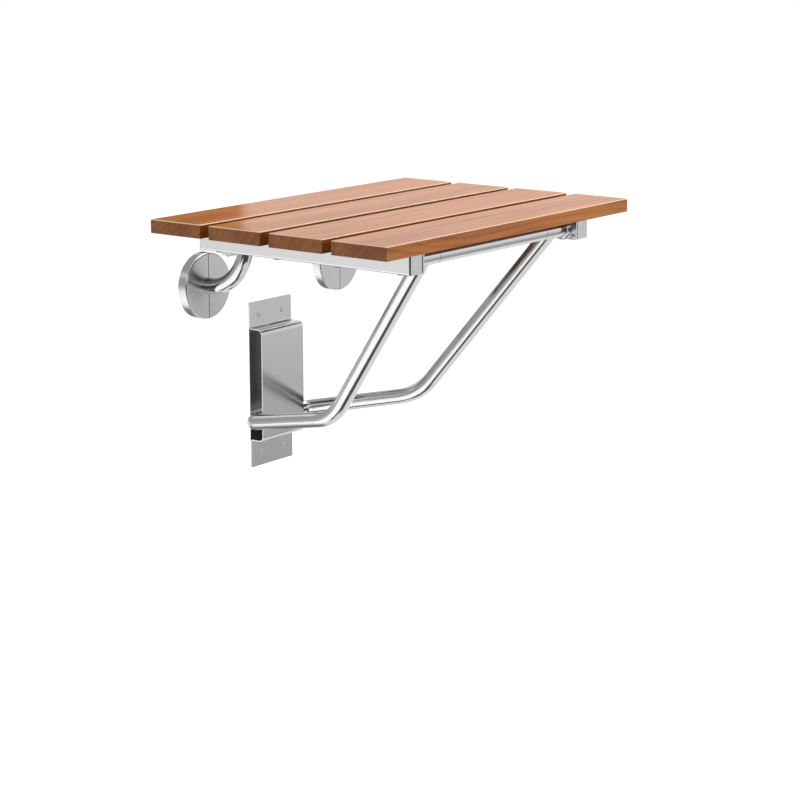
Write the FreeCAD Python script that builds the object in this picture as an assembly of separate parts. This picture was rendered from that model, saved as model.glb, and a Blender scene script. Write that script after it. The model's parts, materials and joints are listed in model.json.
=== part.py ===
import FreeCAD, Part
import math
import os

# A fold-down wall seat of four wooden slats on two rails. The seat hinges on two wall arms, and a bent
# tube frame props its front edge. The foot of that frame slides in a pocket of the wall bracket.
# Millimetres. X runs along the slats, +Y points into the wall, whose face is Y = 0, and Z is up.
# The origin is the centre of the four screws of the wall bracket.

# Slats
seat_length = 508.0
slat_width = 80.0
slat_gap = 13.3
slat_thickness = 17.0
slat_count = 4
slat_edge_radius = 1.6
slat_corner_radius = 0.5
seat_top_z = 247.0
seat_wall_gap = 31.0

# Rails under the slats
rail_outer_spacing = 375.0
rail_width = 24.5
rail_height = 27.0
rail_wall = 1.6
rail_corner_radius = 2.5
rail_end_inset = 17.2
cap_thickness = 3.0
cap_flat = 0.3
cap_plug_depth = 12.0
cap_plug_wall = 3.0

# Tubes of the arms and of the leg frame
tube_diameter = 20.0
tube_wall = 1.5
weld_gap = 0.2

# Wall bracket, a folded sheet with a pocket
bracket_width = 83.6
bracket_height = 221.0
bracket_sheet = 1.3
bracket_back_sheet = 0.9
bracket_corner_radius = 2.5
pocket_height = 150.0
pocket_rise = 1.5
pocket_clearance = 0.25
pocket_front_radius = 7.0
pocket_foot_radius = 2.5
bracket_hole_spacing_x = 46.0
bracket_hole_spacing_z = 185.0
bracket_hole_diameter = 5.0
rest_block_height = 15.9
rest_block_inset = 1.0
rest_block_edge = 2.0

# Leg frame, given by the corners of its centre line on the side of +X
front_pivot_setback = 21.1
front_pivot_drop = 31.0
leg_top_x = 134.0
leg_bend_x = 89.5
leg_bend_y = -180.0
leg_bend_rise = 35.8
leg_bend_radius = 75.0
elbow_x = 55.0
elbow_radius = 22.0
open_pivot_gap = 0.5
stub_joint_x = 112.7
stub_joint_bevel = 0.4

# Wall arms and their round flanges
flange_spacing = 264.4
flange_drop = 100.4
cover_diameter = 84.6
cover_depth = 13.6
cover_sheet = 1.2
cover_edge_radius = 2.2
cover_seam = 0.5
cover_plate_gap = 0.4
cover_arm_gap = 0.25
plate_thickness = 4.0
flange_hole_circle = 56.0
flange_hole_diameter = 5.5
flange_sink_diameter = 10.5
flange_hole_count = 3
arm_top_spacing = 251.0
arm_top_straight = 2.4

# Rear hinge and front pivots
hinge_y = -71.0
hinge_drop = 44.0
pivot_plate = 2.5
pivot_plate_gap = 0.5
pivot_corner_radius = 4.0
rear_plate_half = 20.0
rear_plate_height = 15.0
rear_lobe_wall = 2.0
rear_screw_drop = 8.0
rear_screw_margin = 6.0
pivot_screw_margin = 1.0
hinge_pin_diameter = 12.0
hinge_pin_length = 18.0
hinge_pin_tip = 0.8
bush_flange = 1.5
bush_play = 0.06
side_play = 0.3
front_play = 0.08
boss_length = 9.0
boss_lip = 0.7
boss_root = 5.0

# Screws
slat_screw_diameter = 4.2
slat_screw_head = 9.0
slat_screw_head_height = 2.2
slat_screw_bite = 11.0
pivot_screw_diameter = 3.2
pivot_screw_head = 5.6
pivot_screw_head_height = 1.9
pivot_screw_bite = 4.0
screw_hole_play = 0.4
pilot_play = 0.05

# Worked out from the sizes above
seat_depth = slat_count * slat_width + (slat_count - 1) * slat_gap
seat_rear_y = -seat_wall_gap
seat_front_y = seat_rear_y - seat_depth
slat_bottom_z = seat_top_z - slat_thickness
rail_top_z = slat_bottom_z
rail_bottom_z = rail_top_z - rail_height
rail_front_y = seat_front_y + rail_end_inset
rail_rear_y = seat_rear_y - rail_end_inset
cap_corner_radius = cap_thickness - cap_flat
rail_outer_x = rail_outer_spacing / 2
rail_inner_x = rail_outer_x - rail_width
rail_middle_x = (rail_outer_x + rail_inner_x) / 2
tube_radius = tube_diameter / 2
tube_bore_radius = tube_radius - tube_wall
front_pivot_y = rail_front_y + front_pivot_setback
front_pivot_z = seat_top_z - front_pivot_drop
pocket_back_y = -bracket_back_sheet
bar_y = pocket_back_y - pocket_clearance - tube_radius
pocket_inner_y = bar_y - tube_radius - pocket_clearance
pocket_front_y = pocket_inner_y - bracket_sheet
pocket_top_z = pocket_rise + pocket_height / 2
pocket_bottom_z = pocket_rise - pocket_height / 2
bar_rest_z = pocket_bottom_z + bracket_sheet + rest_block_height + side_play + tube_radius
leg_bend_z = bar_rest_z + leg_bend_rise
hinge_z = seat_top_z - hinge_drop
flange_z = seat_top_z - flange_drop
arm_bend_radius = hinge_z - flange_z - arm_top_straight
pivot_face_x = rail_inner_x - pivot_plate
flange_x = flange_spacing / 2
arm_top_x = arm_top_spacing / 2
sides = (("left", -1), ("right", 1))

V = FreeCAD.Vector


def slat_rear_y(number):
    return seat_rear_y - number * (slat_width + slat_gap)


def slat_middle_y(number):
    return slat_rear_y(number) - slat_width / 2


# Outlines

def corner_arc(before, corner, after, radius):
    """The start, middle and end of the arc that rounds one corner of a path."""
    back = (before - corner).normalize()
    ahead = (after - corner).normalize()
    half = back.getAngle(ahead) / 2
    reach = radius / math.tan(half)
    centre = corner + (back + ahead).normalize() * (radius / math.sin(half))
    start = corner + back * reach
    end = corner + ahead * reach
    middle = centre + (corner - centre).normalize() * radius
    return start, middle, end


def rounded_edges(points, radii, closed):
    """Straight edges joined by tangent arcs. A radius of 0 leaves a sharp corner."""
    count = len(points)
    ends = []
    for i in range(count):
        if not closed and i in (0, count - 1) or radii[i] == 0:
            ends.append((points[i], None, points[i]))
        else:
            ends.append(corner_arc(points[i - 1], points[i], points[(i + 1) % count], radii[i]))
    edges = []
    for i in range(count):
        start, middle, end = ends[i]
        if middle is not None:
            edges.append(Part.Arc(start, middle, end).toShape())
        if closed or i < count - 1:
            following = ends[(i + 1) % count][0]
            if (following - end).Length > 1e-6:
                edges.append(Part.LineSegment(end, following).toShape())
    return edges


def prism(points, radii, direction):
    face = Part.Face(Part.Wire(rounded_edges(points, radii, True)))
    return face.extrude(direction)


def slab_x(outline, radii, x_low, x_high):
    """A plate whose outline is given in Y and Z and which reaches from x_low to x_high."""
    return prism([V(x_low, y, z) for y, z in outline], radii, V(x_high - x_low, 0, 0))


def box_outline(low_a, high_a, low_b, high_b):
    return [(low_a, low_b), (high_a, low_b), (high_a, high_b), (low_a, high_b)]


def rod_x(x_low, x_high, y, z, radius):
    return Part.makeCylinder(radius, x_high - x_low, V(x_low, y, z), V(1, 0, 0))


def rod_y(y_low, y_high, x, z, radius):
    return Part.makeCylinder(radius, y_high - y_low, V(x, y_low, z), V(0, 1, 0))


def rod_z(z_low, z_high, x, y, radius):
    return Part.makeCylinder(radius, z_high - z_low, V(x, y, z_low), V(0, 0, 1))


def rod_between(start, end, radius):
    return Part.makeCylinder(radius, (end - start).Length, start, end - start)


def bend_between(start, middle, end, heading, radius):
    """The part of a ring that carries a round rod round the arc from start to end."""
    arc = Part.Arc(start, middle, end).toShape()
    centre = arc.Curve.Center
    disc = Part.Face(Part.Wire([Part.Circle(start, heading, radius).toShape()]))
    turn = math.degrees(arc.Length / arc.Curve.Radius)
    return disc.revolve(centre, (start - centre).cross(heading), turn)


def bent_rod(points, radii, radius):
    """A round rod along straight runs that are joined by tangent bends."""
    here = points[0]
    pieces = []
    for i in range(1, len(points)):
        if radii[i] == 0:
            pieces.append(rod_between(here, points[i], radius))
            continue
        start, middle, end = corner_arc(points[i - 1], points[i], points[i + 1], radii[i])
        pieces.append(rod_between(here, start, radius))
        pieces.append(bend_between(start, middle, end, start - here, radius))
        here = end
    return pieces[0].fuse(pieces[1:])


def bent_tube(points, radii):
    return bent_rod(points, radii, tube_radius).cut(bent_rod(points, radii, tube_bore_radius))


def mirrored(shape):
    return shape.mirror(V(0, 0, 0), V(1, 0, 0))


def on_side(shape, side):
    """Pieces are drawn on the side of +X. The left one is the mirror image."""
    return shape if side > 0 else mirrored(shape)


def save(name, shape):
    if shape.ShapeType == "Compound" and len(shape.Solids) == 1:
        shape = shape.Solids[0]
    assert shape.isValid() and shape.Solids, name
    shape.exportStep(os.path.join("parts", name + ".step"))


# Seat

def edges_at_height(shape, z):
    return [edge for edge in shape.Edges
            if abs(edge.BoundBox.ZMin - z) < 0.01 and abs(edge.BoundBox.ZMax - z) < 0.01]


def make_slat(number):
    rear = slat_rear_y(number)
    slat = Part.makeBox(seat_length, slat_width, slat_thickness,
                        V(-seat_length / 2, rear - slat_width, slat_bottom_z))
    upright = [edge for edge in slat.Edges if edge.BoundBox.ZLength > slat_thickness / 2]
    slat = slat.makeFillet(slat_corner_radius, upright)
    slat = slat.makeFillet(slat_edge_radius, edges_at_height(slat, seat_top_z))
    slat = slat.makeFillet(slat_corner_radius, edges_at_height(slat, slat_bottom_z))
    pilot = slat_screw_diameter / 2 + pilot_play
    for x in (-rail_middle_x, rail_middle_x):
        depth = slat_bottom_z + slat_screw_bite + pilot_play
        slat = slat.cut(rod_z(slat_bottom_z - 1, depth, x, slat_middle_y(number), pilot))
    return slat


def rail_section(shrink):
    outline = box_outline(rail_inner_x + shrink, rail_outer_x - shrink,
                          rail_bottom_z + shrink, rail_top_z - shrink)
    return outline, [max(rail_corner_radius - shrink * 2, 0)] * 4


def rail_bar(shrink, y_low, y_high):
    outline, radii = rail_section(shrink)
    return prism([V(x, y_low, z) for x, z in outline], radii, V(0, y_high - y_low, 0))


def make_rail():
    low = rail_front_y + cap_thickness
    high = rail_rear_y - cap_thickness
    rail = rail_bar(0, low, high).cut(rail_bar(rail_wall, low - 1, high + 1))
    for number in range(slat_count):
        hole = slat_screw_diameter / 2 + screw_hole_play / 2
        rail = rail.cut(rod_z(rail_bottom_z - 1, rail_top_z + 1, rail_middle_x,
                              slat_middle_y(number), hole))
    for y, z in front_screw_places() + rear_screw_places():
        hole = pivot_screw_diameter / 2 + pilot_play
        rail = rail.cut(rod_x(rail_inner_x - 1, rail_inner_x + rail_wall + 1, y, z, hole))
    return rail


def cap_plan(outer_y, joint_y):
    """The cap seen from above: its two outer corners are well rounded."""
    corners = [(rail_inner_x, joint_y), (rail_outer_x, joint_y), (rail_outer_x, outer_y),
               (rail_inner_x, outer_y)]
    points = [V(x, y, rail_bottom_z) for x, y in corners]
    return prism(points, [0, 0, cap_corner_radius, cap_corner_radius], V(0, 0, rail_height))


def make_cap(outer_y, inward):
    """An end cap: a plate that covers the end of the rail, with a hollow plug inside it."""
    joint_y = outer_y + inward * cap_thickness
    plug_y = joint_y + inward * cap_plug_depth
    plate = rail_bar(0, min(outer_y, joint_y), max(outer_y, joint_y)).common(cap_plan(outer_y, joint_y))
    plug = rail_bar(rail_wall + pilot_play, min(joint_y, plug_y), max(joint_y, plug_y))
    hollow = rail_bar(rail_wall + cap_plug_wall, min(joint_y, plug_y + inward),
                      max(joint_y, plug_y + inward))
    cap = plate.fuse(plug.cut(hollow)).removeSplitter()
    for y, z in front_screw_places() + rear_screw_places():
        hole = pivot_screw_diameter / 2 + screw_hole_play / 2
        cap = cap.cut(rod_x(rail_inner_x, rail_inner_x + pivot_screw_bite + 1, y, z, hole))
    return cap


def make_slat_screw(x, y):
    head = rod_z(rail_bottom_z - slat_screw_head_height, rail_bottom_z, x, y, slat_screw_head / 2)
    rim = [edge for edge in head.Edges if edge.BoundBox.ZMax < rail_bottom_z - 0.1
           and edge.BoundBox.ZLength < 0.01]
    head = head.makeChamfer(slat_screw_head_height / 2, rim)
    shank = rod_z(rail_bottom_z - slat_screw_head_height / 2, slat_bottom_z + slat_screw_bite, x, y,
                  slat_screw_diameter / 2)
    return head.fuse(shank).removeSplitter()


def make_slat_screws():
    screws = []
    for number in range(slat_count):
        for x in (-rail_middle_x, rail_middle_x):
            screws.append(make_slat_screw(x, slat_middle_y(number)))
    return Part.makeCompound(screws)


# Pivots that carry the seat

def front_plate_half_length():
    return front_pivot_y - rail_front_y


def front_screw_places():
    """Two screws beside the boss, low on the plate."""
    reach = boss_outer_radius() + pivot_screw_head / 2 + screw_hole_play
    drop = front_pivot_z - (rail_bottom_z + pivot_screw_head / 2 + pivot_screw_margin)
    along = math.sqrt(reach * reach - drop * drop)
    return [(front_pivot_y - along, front_pivot_z - drop), (front_pivot_y + along, front_pivot_z - drop)]


def boss_outer_radius():
    return tube_radius + boss_root


def make_front_pivot():
    """A plate on the inner web of the rail with a flared boss, in which the leg frame turns."""
    half = front_plate_half_length()
    top = rail_top_z - pivot_plate_gap
    outline = box_outline(front_pivot_y - half, front_pivot_y + half,
                          rail_bottom_z - pivot_plate_gap, top)
    radii = [0, pivot_corner_radius, pivot_corner_radius, 0]
    plate = slab_x(outline, radii, pivot_face_x, rail_inner_x)
    lip_x = pivot_face_x - boss_length
    lip = tube_radius + front_play + boss_lip
    root = boss_outer_radius()
    sag = V(pivot_face_x - boss_length * 0.3, 0, lip + (root - lip) * 0.28)
    flare = Part.Arc(V(lip_x, 0, lip), sag, V(pivot_face_x, 0, root)).toShape()
    sides_of_boss = [
        Part.LineSegment(V(pivot_face_x, 0, root), V(rail_inner_x, 0, root)).toShape(),
        Part.LineSegment(V(rail_inner_x, 0, root), V(rail_inner_x, 0, 0)).toShape(),
        Part.LineSegment(V(rail_inner_x, 0, 0), V(lip_x, 0, 0)).toShape(),
        Part.LineSegment(V(lip_x, 0, 0), V(lip_x, 0, lip)).toShape(),
    ]
    boss = Part.Face(Part.Wire([flare] + sides_of_boss)).revolve(V(0, 0, 0), V(1, 0, 0), 360)
    boss.translate(V(0, front_pivot_y, front_pivot_z))
    above_plate = Part.makeBox(boss_length * 4, root * 4, root * 2,
                               V(lip_x - boss_length, front_pivot_y - root * 2, top))
    pivot = plate.fuse(boss).cut(above_plate)
    bore = rod_x(lip_x - 1, stub_end_x() + side_play, front_pivot_y, front_pivot_z,
                 tube_radius + front_play)
    pivot = pivot.cut(bore)
    return drill_pivot(pivot, front_screw_places())


def stub_end_x():
    return rail_inner_x - pivot_plate / 2


def drill_pivot(pivot, places):
    hole = pivot_screw_diameter / 2 + screw_hole_play / 2
    for y, z in places:
        pivot = pivot.cut(rod_x(pivot_face_x - boss_length, rail_inner_x + 1, y, z, hole))
    return pivot.removeSplitter()


def rear_screw_places():
    reach = rear_plate_half - rear_screw_margin
    z = rail_top_z - rear_screw_drop
    return [(hinge_y - reach, z), (hinge_y + reach, z)]


def make_rear_pivot():
    """A plate on the inner web of the rail that carries the hinge pin just under the rail."""
    top = rail_top_z - pivot_plate_gap
    foot = top - rear_plate_height
    lobe = hinge_pin_diameter / 2 + rear_lobe_wall
    outline = [(hinge_y - rear_plate_half, top), (hinge_y + rear_plate_half, top),
               (hinge_y + rear_plate_half, foot), (hinge_y + lobe, hinge_z - lobe),
               (hinge_y - lobe, hinge_z - lobe), (hinge_y - rear_plate_half, foot)]
    corner = pivot_corner_radius
    plate = slab_x(outline, [corner, corner, corner, lobe * 0.8, lobe * 0.8, corner],
                   pivot_face_x, rail_inner_x)
    pin = rod_x(pivot_face_x - hinge_pin_length, pivot_face_x + pivot_plate / 2, hinge_y, hinge_z,
                hinge_pin_diameter / 2)
    tip = [edge for edge in pin.Edges
           if edge.BoundBox.XMax < pivot_face_x - hinge_pin_length + hinge_pin_tip / 8]
    pin = pin.makeChamfer(hinge_pin_tip, tip)
    return drill_pivot(plate.fuse(pin), rear_screw_places())


def make_pivot_screw(y, z):
    head = rod_x(pivot_face_x - pivot_screw_head_height, pivot_face_x, y, z, pivot_screw_head / 2)
    rim = [edge for edge in head.Edges if edge.BoundBox.XMax < pivot_face_x - 0.1
           and edge.BoundBox.XLength < 0.01]
    head = head.makeChamfer(pivot_screw_head_height / 2, rim)
    shank = rod_x(pivot_face_x - pivot_screw_head_height / 2, rail_inner_x + pivot_screw_bite, y, z,
                  pivot_screw_diameter / 2)
    return head.fuse(shank).removeSplitter()


def make_pivot_screws():
    screws = []
    for y, z in front_screw_places() + rear_screw_places():
        screw = make_pivot_screw(y, z)
        screws.append(screw)
        screws.append(mirrored(screw))
    return Part.makeCompound(screws)


# Leg frame

def leg_path():
    return [V(leg_top_x, front_pivot_y, front_pivot_z), V(leg_bend_x, leg_bend_y, leg_bend_z),
            V(elbow_x, bar_y, bar_rest_z), V(0, bar_y, bar_rest_z)]


def cross_axis_rod(x_low, x_high, radius):
    return rod_x(x_low, x_high, front_pivot_y, front_pivot_z, radius)


def make_leg():
    """A leg from the front cross tube to the side of the pocket, with its foot turned inwards."""
    radii = [0, leg_bend_radius, elbow_radius, 0]
    leg = bent_tube(leg_path(), radii)
    width = bracket_width / 2 + open_pivot_gap
    inside_bracket = Part.makeBox(width, tube_diameter * 4, tube_diameter * 4,
                                  V(0, bar_y - tube_diameter * 2, bar_rest_z - tube_diameter * 2))
    leg = leg.cut(inside_bracket)
    return leg.cut(cross_axis_rod(0, rail_inner_x, tube_radius + weld_gap / 2))


def bevelled(tube, ends):
    """Takes the outer edge off a tube of the cross bar where it meets the next one."""
    rims = [edge for edge in tube.Edges if edge.BoundBox.XLength < 0.01
            and edge.BoundBox.YLength > tube_diameter - 0.01
            and min(abs(edge.BoundBox.XMin - x) for x in ends) < 0.01]
    return tube.makeChamfer(stub_joint_bevel, rims)


def make_stub():
    """The round end of the leg frame that turns in the boss of the front pivot."""
    start = stub_joint_x + weld_gap / 2
    stub = cross_axis_rod(start, stub_end_x(), tube_radius)
    return bevelled(stub.cut(cross_axis_rod(start, stub_end_x(), tube_bore_radius)), [start])


def make_cross_tube():
    half = stub_joint_x - weld_gap / 2
    tube = cross_axis_rod(-half, half, tube_radius).cut(cross_axis_rod(-half, half, tube_bore_radius))
    return bevelled(tube, [-half, half])


def make_slide_bar():
    """The straight foot of the leg frame inside the pocket."""
    half = bracket_width / 2
    bar = rod_x(-half, half, bar_y, bar_rest_z, tube_radius)
    return bar.cut(rod_x(-half, half, bar_y, bar_rest_z, tube_bore_radius))


# Wall bracket

def bracket_profile():
    """The folded sheet seen along X, from the upper ear over the pocket to the lower ear."""
    half = bracket_height / 2
    t = bracket_sheet
    back_y = pocket_back_y
    ear_y = back_y - t
    front = [(back_y, half), (ear_y, half), (ear_y, pocket_top_z), (pocket_front_y, pocket_top_z),
             (pocket_front_y, pocket_bottom_z), (ear_y, pocket_bottom_z), (ear_y, -half), (back_y, -half)]
    back = [(back_y, pocket_bottom_z + t), (pocket_inner_y, pocket_bottom_z + t),
            (pocket_inner_y, pocket_top_z - t), (back_y, pocket_top_z - t)]
    foot = pocket_foot_radius
    bend = pocket_front_radius
    radii = [0, 0, foot, bend, bend, foot, 0, 0, foot + t, bend - t, bend - t, foot + t]
    return front + back, radii


def bracket_blank():
    """The outline of the bracket seen from the room, with its four screw holes, as a deep block."""
    half_width = bracket_width / 2
    half_height = bracket_height / 2
    corners = box_outline(-half_width, half_width, -half_height, half_height)
    reach = bracket_width
    blank = prism([V(x, -reach, z) for x, z in corners], [bracket_corner_radius] * 4, V(0, reach * 2, 0))
    for x in (-bracket_hole_spacing_x / 2, bracket_hole_spacing_x / 2):
        for z in (-bracket_hole_spacing_z / 2, bracket_hole_spacing_z / 2):
            blank = blank.cut(rod_y(-reach, reach, x, z, bracket_hole_diameter / 2))
    return blank


def make_bracket():
    """The front sheet of the bracket, folded out into the pocket between its two ears."""
    outline, radii = bracket_profile()
    return slab_x(outline, radii, -bracket_width / 2, bracket_width / 2).common(bracket_blank())


def make_bracket_back():
    """The flat sheet behind the pocket, held to the wall by the screws of the ears."""
    half = bracket_height / 2
    outline = box_outline(pocket_back_y, 0, -half, half)
    return slab_x(outline, [0] * 4, -bracket_width / 2, bracket_width / 2).common(bracket_blank())


def make_rest_block():
    """A soft block at the foot of the pocket, on which the bar rests when the seat is down."""
    floor = pocket_bottom_z + bracket_sheet
    top = floor + rest_block_height
    back_y = pocket_back_y - side_play
    outline = [(pocket_inner_y, floor), (back_y, floor), (back_y, top), (pocket_inner_y, top)]
    back_radius = pocket_foot_radius + bracket_sheet + rest_block_inset
    radii = [pocket_front_radius, back_radius, rest_block_edge, rest_block_edge]
    width = bracket_width / 2 - rest_block_inset
    return slab_x(outline, radii, -width, width)


# Wall arms and flanges

def make_arm():
    corner = V(flange_x, hinge_y, flange_z)
    top = V(arm_top_x, hinge_y, hinge_z)
    start = V(flange_x, -plate_thickness, flange_z)
    arm = bent_tube([start, corner, top], [0, arm_bend_radius, 0])
    return arm.cut(rod_x(0, rail_outer_x, hinge_y, hinge_z, tube_radius))


def make_hinge_tube():
    half = pivot_face_x - side_play - bush_flange
    tube = rod_x(-half, half, hinge_y, hinge_z, tube_radius)
    return tube.cut(rod_x(-half, half, hinge_y, hinge_z, tube_bore_radius))


def make_hinge_bush():
    """A flanged plastic bush in the end of the hinge tube, in which the pin of the seat turns."""
    outer = pivot_face_x - side_play
    end = outer - bush_flange
    bush = rod_x(end, outer, hinge_y, hinge_z, tube_radius - 0.2)
    bush = bush.fuse(rod_x(pivot_face_x - hinge_pin_length, end, hinge_y, hinge_z, tube_bore_radius))
    bore = hinge_pin_diameter / 2 + bush_play
    return bush.cut(rod_x(0, rail_outer_x, hinge_y, hinge_z, bore)).removeSplitter()


def flange_hole_places():
    places = []
    for number in range(flange_hole_count):
        angle = math.radians(90 + 360 * number / flange_hole_count)
        places.append((flange_x + flange_hole_circle / 2 * math.cos(angle),
                       flange_z + flange_hole_circle / 2 * math.sin(angle)))
    return places


def make_flange_plate():
    """The round plate behind the cover, welded to the arm and screwed to the wall."""
    radius = cover_diameter / 2 - cover_sheet - cover_plate_gap
    plate = rod_y(-plate_thickness, 0, flange_x, flange_z, radius)
    hole = flange_hole_diameter / 2
    sink = flange_sink_diameter / 2
    for x, z in flange_hole_places():
        plate = plate.cut(rod_y(-plate_thickness - 1, 1, x, z, hole))
        cone = Part.makeCone(sink, hole, sink - hole, V(x, -plate_thickness, z), V(0, 1, 0))
        plate = plate.cut(cone)
    return plate


def make_cover():
    """A whole flange cover, as a turned cup, before it is split into its two halves."""
    radius = cover_diameter / 2
    t = cover_sheet
    hole = tube_radius + cover_arm_gap
    outline = [(hole, -cover_depth), (radius, -cover_depth), (radius, 0), (radius - t, 0),
               (radius - t, -cover_depth + t), (hole, -cover_depth + t)]
    edge = cover_edge_radius
    points = [V(r, y, 0) for r, y in outline]
    wire = Part.Wire(rounded_edges(points, [0, edge, 0, 0, edge - t, 0], True))
    cover = Part.Face(wire).revolve(V(0, 0, 0), V(0, 1, 0), 360)
    cover.translate(V(flange_x, 0, flange_z))
    return cover


def make_cover_half(outward):
    reach = cover_diameter
    low = flange_x + cover_seam / 2 if outward > 0 else flange_x - cover_seam / 2 - reach
    half = Part.makeBox(reach, reach, reach * 2, V(low, -reach / 2, flange_z - reach))
    return make_cover().common(half)


def build():
    os.makedirs("parts", exist_ok=True)
    save("wall_bracket", make_bracket())
    save("bracket_back_plate", make_bracket_back())
    save("rest_block", make_rest_block())
    save("slide_bar", make_slide_bar())
    save("hinge_tube", make_hinge_tube())
    save("cross_tube", make_cross_tube())
    save("slat_screws", make_slat_screws())
    save("pivot_screws", make_pivot_screws())
    for number in range(slat_count):
        save("slat_%d" % (number + 1), make_slat(number))
    one_side = {
        "rail": make_rail(),
        "rail_cap_front": make_cap(rail_front_y, 1),
        "rail_cap_rear": make_cap(rail_rear_y, -1),
        "front_pivot": make_front_pivot(),
        "rear_pivot": make_rear_pivot(),
        "leg": make_leg(),
        "pivot_stub": make_stub(),
        "wall_arm": make_arm(),
        "hinge_bush": make_hinge_bush(),
        "flange_plate": make_flange_plate(),
        "flange_cover_outer": make_cover_half(1),
        "flange_cover_inner": make_cover_half(-1),
    }
    for name, shape in one_side.items():
        for word, side in sides:
            save(name + "_" + word, on_side(shape, side))


build()
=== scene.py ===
# %% [markdown]
# # Fold down wall seat
# Four wooden slats lie across two square steel rails. The rails hinge on a tube that two bent
# arms carry from the wall. Two bent legs prop the front, and the bar at their foot slides
# down in a pocket of sheet steel that is screwed to the wall.
#
# The shapes come measured from the solid model. This lesson gives them their finishes and the
# screws their cross recesses, which that model leaves out, and sets up a studio to show it.

# %% Load the measured frame
import json
import math

import bmesh
import bpy
import numpy as np
from mathutils import Matrix, Vector


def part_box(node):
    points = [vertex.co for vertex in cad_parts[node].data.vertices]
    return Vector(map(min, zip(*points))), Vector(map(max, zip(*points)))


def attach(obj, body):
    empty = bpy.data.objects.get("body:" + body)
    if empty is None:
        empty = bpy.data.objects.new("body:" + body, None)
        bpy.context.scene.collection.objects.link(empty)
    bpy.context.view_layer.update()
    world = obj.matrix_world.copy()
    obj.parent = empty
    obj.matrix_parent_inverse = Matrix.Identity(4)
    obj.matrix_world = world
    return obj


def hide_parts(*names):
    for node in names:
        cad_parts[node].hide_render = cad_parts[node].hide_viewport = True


MM = 0.001
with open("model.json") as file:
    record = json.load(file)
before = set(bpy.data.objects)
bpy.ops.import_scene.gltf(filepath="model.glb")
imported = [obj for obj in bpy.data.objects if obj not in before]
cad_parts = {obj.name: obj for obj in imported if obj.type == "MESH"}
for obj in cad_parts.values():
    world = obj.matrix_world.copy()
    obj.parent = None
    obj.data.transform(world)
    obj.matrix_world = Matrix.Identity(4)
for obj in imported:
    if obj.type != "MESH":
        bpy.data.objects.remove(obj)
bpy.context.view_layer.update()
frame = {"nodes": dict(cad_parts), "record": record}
nodes = frame["nodes"]

# %% [markdown]
# ## The camera
# The picture is taken from the front left and a little above the seat, through a long lens.
# The place is worked out from the real distances, so the straight edges run as they should.
# Directions are told as a compass angle and a height, as a photographer would say them.

# %% Camera
CAMERA_PLACE = Vector((-2.24717, -1.92565, 0.6401))
CAMERA_AZIMUTH = math.radians(-52.74)
CAMERA_ELEVATION = math.radians(12.72)
LENS_MM = 102.62
SENSOR_MM = 36.0


def direction(azimuth, elevation):
    """Unit vector from the seat towards a compass angle and a height, both in radians."""
    level = math.cos(elevation)
    return Vector((math.sin(azimuth) * level, -math.cos(azimuth) * level, math.sin(elevation)))


camera_data = bpy.data.cameras.new("camera")
camera_data.lens = LENS_MM
camera_data.sensor_width = SENSOR_MM
camera = bpy.data.objects.new("camera", camera_data)
camera.location = CAMERA_PLACE
towards_camera = direction(CAMERA_AZIMUTH, CAMERA_ELEVATION)
camera.rotation_euler = towards_camera.to_track_quat("Z", "Y").to_euler()
bpy.context.scene.collection.objects.link(camera)
bpy.context.scene.camera = camera
bpy.context.scene.view_settings.view_transform = "Standard"
print("camera at", tuple(round(c, 3) for c in camera.location), "lens", LENS_MM, "mm")

# %% [markdown]
# ## Small tools
# Meshes are made in place, in metres, so each object stays at the origin. A node tree reads
# like a list of sums when each node is one call, so a few short helpers make the nodes. An
# input can be given a plain value or the output that drives it. The nodes are laid out in
# rows, in the order in which they are made.

# %% Mesh and node helpers
NODES_IN_ROW = 8
NODE_WIDTH = 220
NODE_HEIGHT = 260
# A mix node also has sockets for numbers and vectors. These are its share and its colours.
MIX_INPUTS = (0, 6, 7)
MIX_OUTPUT = 2


def new_object(name, mesh, material=None):
    """A mesh as an object in the scene, with its one material."""
    made = bpy.data.objects.new(name, mesh)
    bpy.context.scene.collection.objects.link(made)
    if material is not None:
        mesh.materials.append(material)
    return made


def feed(tree, socket, value):
    """Gives an input a plain value, or links it to the output that drives it."""
    if isinstance(value, bpy.types.NodeSocket):
        tree.links.new(value, socket)
    else:
        socket.default_value = value


def add_node(tree, kind, **values):
    """One node of a tree, with properties and inputs set by name."""
    made = tree.nodes.new(kind)
    row, column = divmod(len(tree.nodes), NODES_IN_ROW)
    made.location = (NODE_WIDTH * column, -NODE_HEIGHT * row)
    for key, value in values.items():
        if hasattr(made, key):
            setattr(made, key, value)
        else:
            feed(tree, made.inputs[key.replace("_", " ")], value)
    return made


def number(tree, operation, *values):
    """A sum on numbers, as the output of one node."""
    made = add_node(tree, "ShaderNodeMath", operation=operation)
    for socket, value in zip(made.inputs, values):
        feed(tree, socket, value)
    return made.outputs[0]


def vector(tree, operation, *values):
    """A sum on vectors, as a node. Its output is named Vector or Value."""
    made = add_node(tree, "ShaderNodeVectorMath", operation=operation)
    for socket, value in zip(made.inputs, values):
        feed(tree, socket, value)
    return made


def noise(tree, place, stretch, detail):
    """A noise from 0 to 1 that is squeezed by its own amount along each axis."""
    squeezed = vector(tree, "MULTIPLY", place, stretch).outputs["Vector"]
    made = add_node(tree, "ShaderNodeTexNoise", Scale=1.0, Detail=detail, Vector=squeezed)
    return made.outputs["Fac"]


def mix_colours(tree, share, first, second):
    """A blend of two colours: share 0 gives the first and share 1 the second."""
    made = add_node(tree, "ShaderNodeMix", data_type="RGBA")
    for socket, value in zip(MIX_INPUTS, (share, first, second)):
        feed(tree, made.inputs[socket], value)
    return made.outputs[MIX_OUTPUT]


def grey_colour(grey):
    """One grey as a colour."""
    return (grey, grey, grey, 1.0)


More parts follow.
